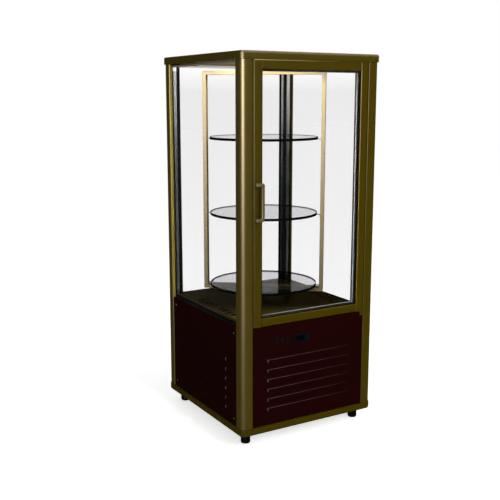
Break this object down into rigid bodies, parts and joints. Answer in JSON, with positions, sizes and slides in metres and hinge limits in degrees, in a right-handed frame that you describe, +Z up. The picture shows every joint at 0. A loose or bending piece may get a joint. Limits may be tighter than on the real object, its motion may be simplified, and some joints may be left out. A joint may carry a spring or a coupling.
{
  "type": "revolving glass display cabinet",
  "caption": "Floor-standing refrigerated display cabinet with glazed walls, a hinged glass door, louvred machine base and a turning frame of round glass shelves.",
  "frame": {"origin": "centre of the footprint on the floor, under the four feet", "axes": "+Z up, -Y towards the door side, +X towards the door's hinge side"},
  "size_m": [0.658, 0.72, 1.57],
  "materials": {
    "gold_aluminium": "dark gold anodised, satin",
    "bright_gold": "light gold anodised, satin",
    "maroon_paint": "dark maroon powder coat, semi-gloss",
    "clear_glass": "clear float glass",
    "shelf_glass": "toughened glass with a dark polished edge",
    "spacer": "mill-finish spacer bar with black sealant",
    "ceiling": "gold-painted sheet, satin",
    "deck": "gold-painted sheet, satin",
    "insulation": "foamed slab in a plastic skin",
    "plain_steel": "satin metal",
    "black_enamel": "black stove enamel",
    "black_plastic": "moulded black plastic",
    "grey_plastic": "moulded grey plastic",
    "black_rubber": "black rubber"
  },
  "bodies": {
    "cabinet": {"post_front_left": "gold_aluminium", "post_front_right": "gold_aluminium", "post_rear_left": "gold_aluminium", "post_rear_right": "gold_aluminium", "base_frame": "gold_aluminium", "top_cap": "gold_aluminium", "ceiling_panel": "ceiling", "panel_front": "maroon_paint", "panel_left": "maroon_paint", "panel_right": "maroon_paint", "panel_rear": "maroon_paint", "glass_left_outer": "clear_glass", "glass_left_inner": "clear_glass", "spacer_left": "spacer", "glass_right_outer": "clear_glass", "glass_right_inner": "clear_glass", "spacer_right": "spacer", "glass_rear_outer": "clear_glass", "glass_rear_inner": "clear_glass", "spacer_rear": "spacer", "insulated_floor": "insulation", "display_deck": "deck", "drive_cover": "deck", "door_surround": "gold_aluminium", "hinge_bracket_bottom": "bright_gold", "hinge_bracket_top": "bright_gold", "switch_frame": "black_plastic", "thermostat_housing": "grey_plastic", "gear_motor": "black_enamel", "compressor": "black_enamel", "condenser": "plain_steel", "condenser_fan_motor": "black_enamel", "evaporator": "plain_steel", "cable_gland": "black_plastic"},
    "door": {"door_stile_latch": "gold_aluminium", "door_stile_hinge": "gold_aluminium", "door_rail_bottom": "gold_aluminium", "door_rail_top": "gold_aluminium", "door_glass_outer": "clear_glass", "door_glass_inner": "clear_glass", "door_spacer": "spacer", "door_gasket": "black_rubber", "door_handle": "bright_gold"},
    "carousel": {"carousel_frame": "bright_gold", "carousel_spindle": "plain_steel", "shelf_bottom": "shelf_glass", "shelf_middle": "shelf_glass", "shelf_top": "shelf_glass"},
    "condenser_fan": {"condenser_fan": "black_plastic"},
    "evaporator_fan": {"evaporator_fan": "black_plastic"},
    "rocker_1": {"rocker_switch_1": "black_plastic"},
    "rocker_2": {"rocker_switch_2": "black_plastic"},
    "rocker_3": {"rocker_switch_3": "black_plastic"},
    "button_1": {"thermostat_button_1": "black_plastic"},
    "button_2": {"thermostat_button_2": "black_plastic"},
    "button_3": {"thermostat_button_3": "black_plastic"},
    "foot_front_left": {"foot_front_left": "black_rubber"},
    "foot_front_right": {"foot_front_right": "black_rubber"},
    "foot_rear_left": {"foot_rear_left": "black_rubber"},
    "foot_rear_right": {"foot_rear_right": "black_rubber"}
  },
  "joints": [
    {"name": "door_swing", "type": "hinge", "parent": "cabinet", "child": "door", "pos_m": [0.26, -0.332, 0.5], "axis": [0, 0, 1], "range_deg": [0, 110]},
    {"name": "carousel_turn", "type": "hinge", "parent": "cabinet", "child": "carousel", "pos_m": [0, 0.03, 0.55], "axis": [0, 0, 1], "continuous": true},
    {"name": "condenser_fan_spin", "type": "hinge", "parent": "cabinet", "child": "condenser_fan", "pos_m": [0, -0.224, 0.192], "axis": [0, 1, 0], "continuous": true},
    {"name": "evaporator_fan_spin", "type": "hinge", "parent": "cabinet", "child": "evaporator_fan", "pos_m": [0, -0.14, 0.48], "axis": [0, 0, 1], "continuous": true},
    {"name": "rocker_1_tilt", "type": "hinge", "parent": "cabinet", "child": "rocker_1", "pos_m": [-0.1635, -0.3346, 0.43], "axis": [-1, 0, 0], "range_deg": [0, 14]},
    {"name": "rocker_2_tilt", "type": "hinge", "parent": "cabinet", "child": "rocker_2", "pos_m": [-0.1355, -0.3346, 0.43], "axis": [-1, 0, 0], "range_deg": [0, 14]},
    {"name": "rocker_3_tilt", "type": "hinge", "parent": "cabinet", "child": "rocker_3", "pos_m": [-0.1075, -0.3346, 0.43], "axis": [-1, 0, 0], "range_deg": [0, 14]},
    {"name": "button_1_press", "type": "slide", "parent": "cabinet", "child": "button_1", "axis": [0, 1, 0], "range_m": [0, 0.001], "stiffness_N_per_m": 400, "springref_m": -0.002},
    {"name": "button_2_press", "type": "slide", "parent": "cabinet", "child": "button_2", "axis": [0, 1, 0], "range_m": [0, 0.001], "stiffness_N_per_m": 400, "springref_m": -0.002},
    {"name": "button_3_press", "type": "slide", "parent": "cabinet", "child": "button_3", "axis": [0, 1, 0], "range_m": [0, 0.001], "stiffness_N_per_m": 400, "springref_m": -0.002},
    {"name": "foot_front_left_turn", "type": "hinge", "parent": "cabinet", "child": "foot_front_left", "pos_m": [-0.275, -0.28, 0.02], "axis": [0, 0, 1], "continuous": true},
    {"name": "foot_front_right_turn", "type": "hinge", "parent": "cabinet", "child": "foot_front_right", "pos_m": [0.275, -0.28, 0.02], "axis": [0, 0, 1], "continuous": true},
    {"name": "foot_rear_left_turn", "type": "hinge", "parent": "cabinet", "child": "foot_rear_left", "pos_m": [-0.275, 0.28, 0.02], "axis": [0, 0, 1], "continuous": true},
    {"name": "foot_rear_right_turn", "type": "hinge", "parent": "cabinet", "child": "foot_rear_right", "pos_m": [0.275, 0.28, 0.02], "axis": [0, 0, 1], "continuous": true}
  ]
}
